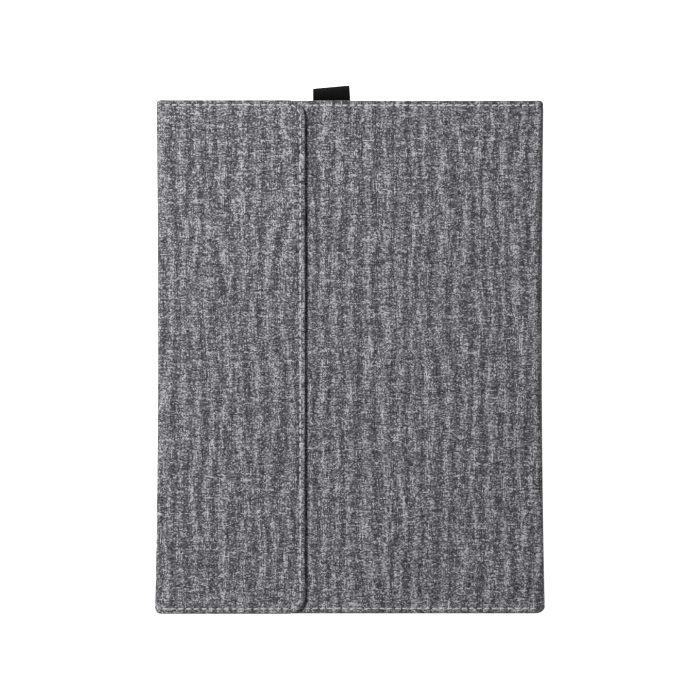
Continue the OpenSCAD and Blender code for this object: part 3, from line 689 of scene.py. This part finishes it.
for node in ("circuit_board", "touchpad_sensor"):
    finish_cad(node, mask, .05)
foil = Shader("foil pouch", (.5, .52, .55), .3, Metallic=.8)
crinkle = foil.put("TexNoise", {"Vector": foil.space(), "Scale": .25, "Detail": 4.0})
foil.bump(crinkle, .15)
foil.rough(foil.put("MapRange", {0: crinkle, 3: .22, 4: .42}))
finish_cad("battery", foil, .3)

foam = Shader("foam tape", grey(.05, 0, .1), .9)
u, v = foam.cloth()
cells = foam.put("TexVoronoi", {"Vector": foam.put("CombineXYZ", {0: u, 1: v}), "Scale": 3.0})
foam.color(foam.ramp(cells, (0.0, grey(.03, 0, .1)), (.8, grey(.06, 0, .1))))
foam.bump(cells, .06)
for number, x in enumerate((-49.5, 43.5), 1):
    strip = panel(f"foam_strip_{number}", flat_run(x - 10, 21.2, 1, 0, 0, 1), 20, 100, .3,
                  free=(True, True), corner=(2, 2), edge=.12, waves=0)
    dress(strip, foam, "cover", ["keyboard_pads"])

# ---- Keys ----
# Low scissor keys with slightly hollow tops and rounded edges, each with a flange that keeps it
# behind the deck. The legends are plain letters, digits and words, printed in pale grey.

PITCH, ROW_PITCH, FUNCTION_ROW, KEY_X1 = 16.2, 15.6, 10.4, 82.5
KEY_TOP, FLANGE = 14.5, 16.8
KEY_ROWS = [
    ("function", "function_row", "function_keys", [1] * 15,
     ["esc"] + [f"F{k}" for k in range(1, 13)] + ["ins", "del"]),
    ("number", "number_row", "number_keys", [1] * 13 + [2], list("`1234567890-=") + ["back"]),
    ("upper", "upper_row", "upper_letter_keys", [1.5] + [1] * 12 + [1.5], ["tab", *"QWERTYUIOP[]", "\\"]),
    ("home", "home_row", "home_letter_keys", [1.75] + [1] * 11 + [2.25], ["caps", *"ASDFGHJKL;'", "enter"]),
    ("lower", "lower_row", "lower_letter_keys", [2.25] + [1] * 10 + [2.75],
     ["shift", *"ZXCVBNM,./", "shift"]),
    ("modifier", "modifier_row", "modifier_keys", [1.25, 1, 1.25, 1.25, 5.25, 1, 1, 1, 1, 1],
     ["ctrl", "fn", "alt", "opt", "", "alt", "<", "^", "v", ">"]),
]


def outline(box, r, inset):
    x0, y0, x1, y1 = box[0] + inset, box[1] + inset, box[2] - inset, box[3] - inset
    r = max(min(r - inset, (x1 - x0) / 2 - .01), .12)
    pts = []
    corners = ((x1 - r, y1 - r, 0), (x0 + r, y1 - r, 90), (x0 + r, y0 + r, 180), (x1 - r, y0 + r, 270))
    for cx, cy, a in corners:
        pts += [(cx + r * math.cos(math.radians(a + k)), cy + r * math.sin(math.radians(a + k)))
                for k in (0, 18, 36, 54, 72, 90)]
    return np.array(pts)


def key_mesh(name, boxes):
    verts, faces, caps, uvs, base = [], [], [], [], 0
    for box in boxes:
        deep = (box[2] - box[0]) / 2
        insets = [i for i in (deep - .1, deep * .7, deep * .45, 1.6, .9, .5) if i <= deep - .1]
        rings = [(i, KEY_TOP + .16 * (1 - math.exp(-(i - .35) / 1.5))) for i in insets]
        rings += [(.35, KEY_TOP), (.2, KEY_TOP + .03), (.08, KEY_TOP + .12), (0, KEY_TOP + .35),
                  (-.02, FLANGE), (-.5, FLANGE + .05), (-.5, FLANGE + .6), (deep - .1, FLANGE + .6)]
        index = np.arange(len(rings) * 24).reshape(len(rings), 24) + base
        for inset, z in rings:
            pts = outline(box, 1.2, inset)
            verts.append(np.column_stack([pts, np.full(24, z)]))
            uvs.append(pts)
        faces.append(quads(np.concatenate([index, index[:, :1]], 1), False))
        caps += [index[0][None], index[-1][None, ::-1]]
        base += index.size
    faces = [np.concatenate(faces), *caps]
    return mesh_object(name, np.concatenate(verts) * MM, faces, np.concatenate(uvs), 45)


def legend_mesh(name, boxes, words):
    verts, faces, base = [], [], 0
    for box, word in zip(boxes, words):
        if not word:
            continue
        curve = bpy.data.curves.new("legend", "FONT")
        curve.body = word
        curve.size = 4.4 if len(word) == 1 else 2.7
        curve.align_x, curve.align_y = "CENTER", "CENTER"
        curve.resolution_u = 3
        o = bpy.data.objects.new("legend", curve)
        bpy.context.scene.collection.objects.link(o)
        bpy.context.view_layer.update()
        flat = bpy.data.meshes.new_from_object(o.evaluated_get(bpy.context.evaluated_depsgraph_get()))
        co = np.array([p.co for p in flat.vertices])
        cx, cy = (box[0] + box[2]) / 2, (box[1] + box[3]) / 2
        verts.append(np.column_stack([cx + co[:, 1], cy + co[:, 0], np.full(len(co), KEY_TOP + .125)]))
        faces += [np.array([[base + k for k in p.vertices]]) for p in flat.polygons]
        base += len(co)
        bpy.data.objects.remove(o)
        bpy.data.curves.remove(curve)
        bpy.data.meshes.remove(flat)
    verts = np.concatenate(verts) * MM
    return mesh_object(name, verts, faces, verts[:, :2] / MM)


keycap = Shader("key caps", grey(.016, 0, .1), .55)
u, v = keycap.cloth()
touch = keycap.noise(u, v, 7.0, 2)
wear = keycap.noise(u, v, .12, 2, 3.0)
keycap.rough(keycap.math("MULTIPLY_ADD", wear, -.16, keycap.math("MULTIPLY_ADD", touch, .12, .56)))
keycap.bump(touch, .012)
ink = Shader("legend ink", grey(.6), .6)
u, v = ink.cloth()
ink.color(ink.ramp(ink.noise(u, v, 4.0, 1), (.3, grey(.55)), (.7, grey(.66))))
x1 = KEY_X1
for row, (word, body, node, widths, words) in enumerate(KEY_ROWS):
    depth = FUNCTION_ROW if row == 0 else ROW_PITCH
    y, boxes = -7.5 * PITCH, []
    for wide in widths:
        boxes.append((x1 - depth + .8, y + .9, x1 - .8, y + wide * PITCH - .9))
        y += wide * PITCH
    x1 -= depth
    if word == "modifier":
        bar = key_mesh("space_bar_cap", [boxes.pop(4)])
        words.pop(4)
        dress(bar, keycap, "space", ["space_bar"])
    dress(key_mesh(f"{word}_caps", boxes), keycap, body, [node])
    dress(legend_mesh(f"{word}_legends", boxes, words), ink, body, [])

# ---- Table, light and camera ----
# The closed case lies on a white table under one large soft light from the upper left, with
# pale walls all round, and is seen from straight above.

bpy.ops.mesh.primitive_plane_add(size=6, location=(0, 0, -.0002))
floor = bpy.context.object
floor.name = "table"
white = Shader("white table", (.86, .86, .86), .7, Emission_Color=(1, 1, 1, 1), Emission_Strength=.95)
floor.data.materials.append(white.m)

scene = bpy.context.scene
world = bpy.data.worlds.new("pale room")
scene.world = world
world.use_nodes = True
world.node_tree.nodes["Background"].inputs[0].default_value = (1, 1, 1, 1)
world.node_tree.nodes["Background"].inputs[1].default_value = .2
lamp = bpy.data.lights.new("soft box", "AREA")
lamp.shape = "RECTANGLE"
lamp.size, lamp.size_y = .35, .45
lamp.energy = 28
soft_box = bpy.data.objects.new("soft box", lamp)
soft_box.location = (-.8, .58, .9)
soft_box.rotation_euler = soft_box.location.to_track_quat("Z", "Y").to_euler()
scene.collection.objects.link(soft_box)

EYE_HEIGHT = 1.6
camera = bpy.data.cameras.new("camera")
camera.sensor_width = 36
camera.lens = camera.sensor_width * (EYE_HEIGHT - .025) / .36225
camera.clip_end = 50
eye = bpy.data.objects.new("camera", camera)
eye.location = (0, .0036, EYE_HEIGHT)
scene.collection.objects.link(eye)
scene.camera = eye
scene.view_settings.view_transform = "Standard"
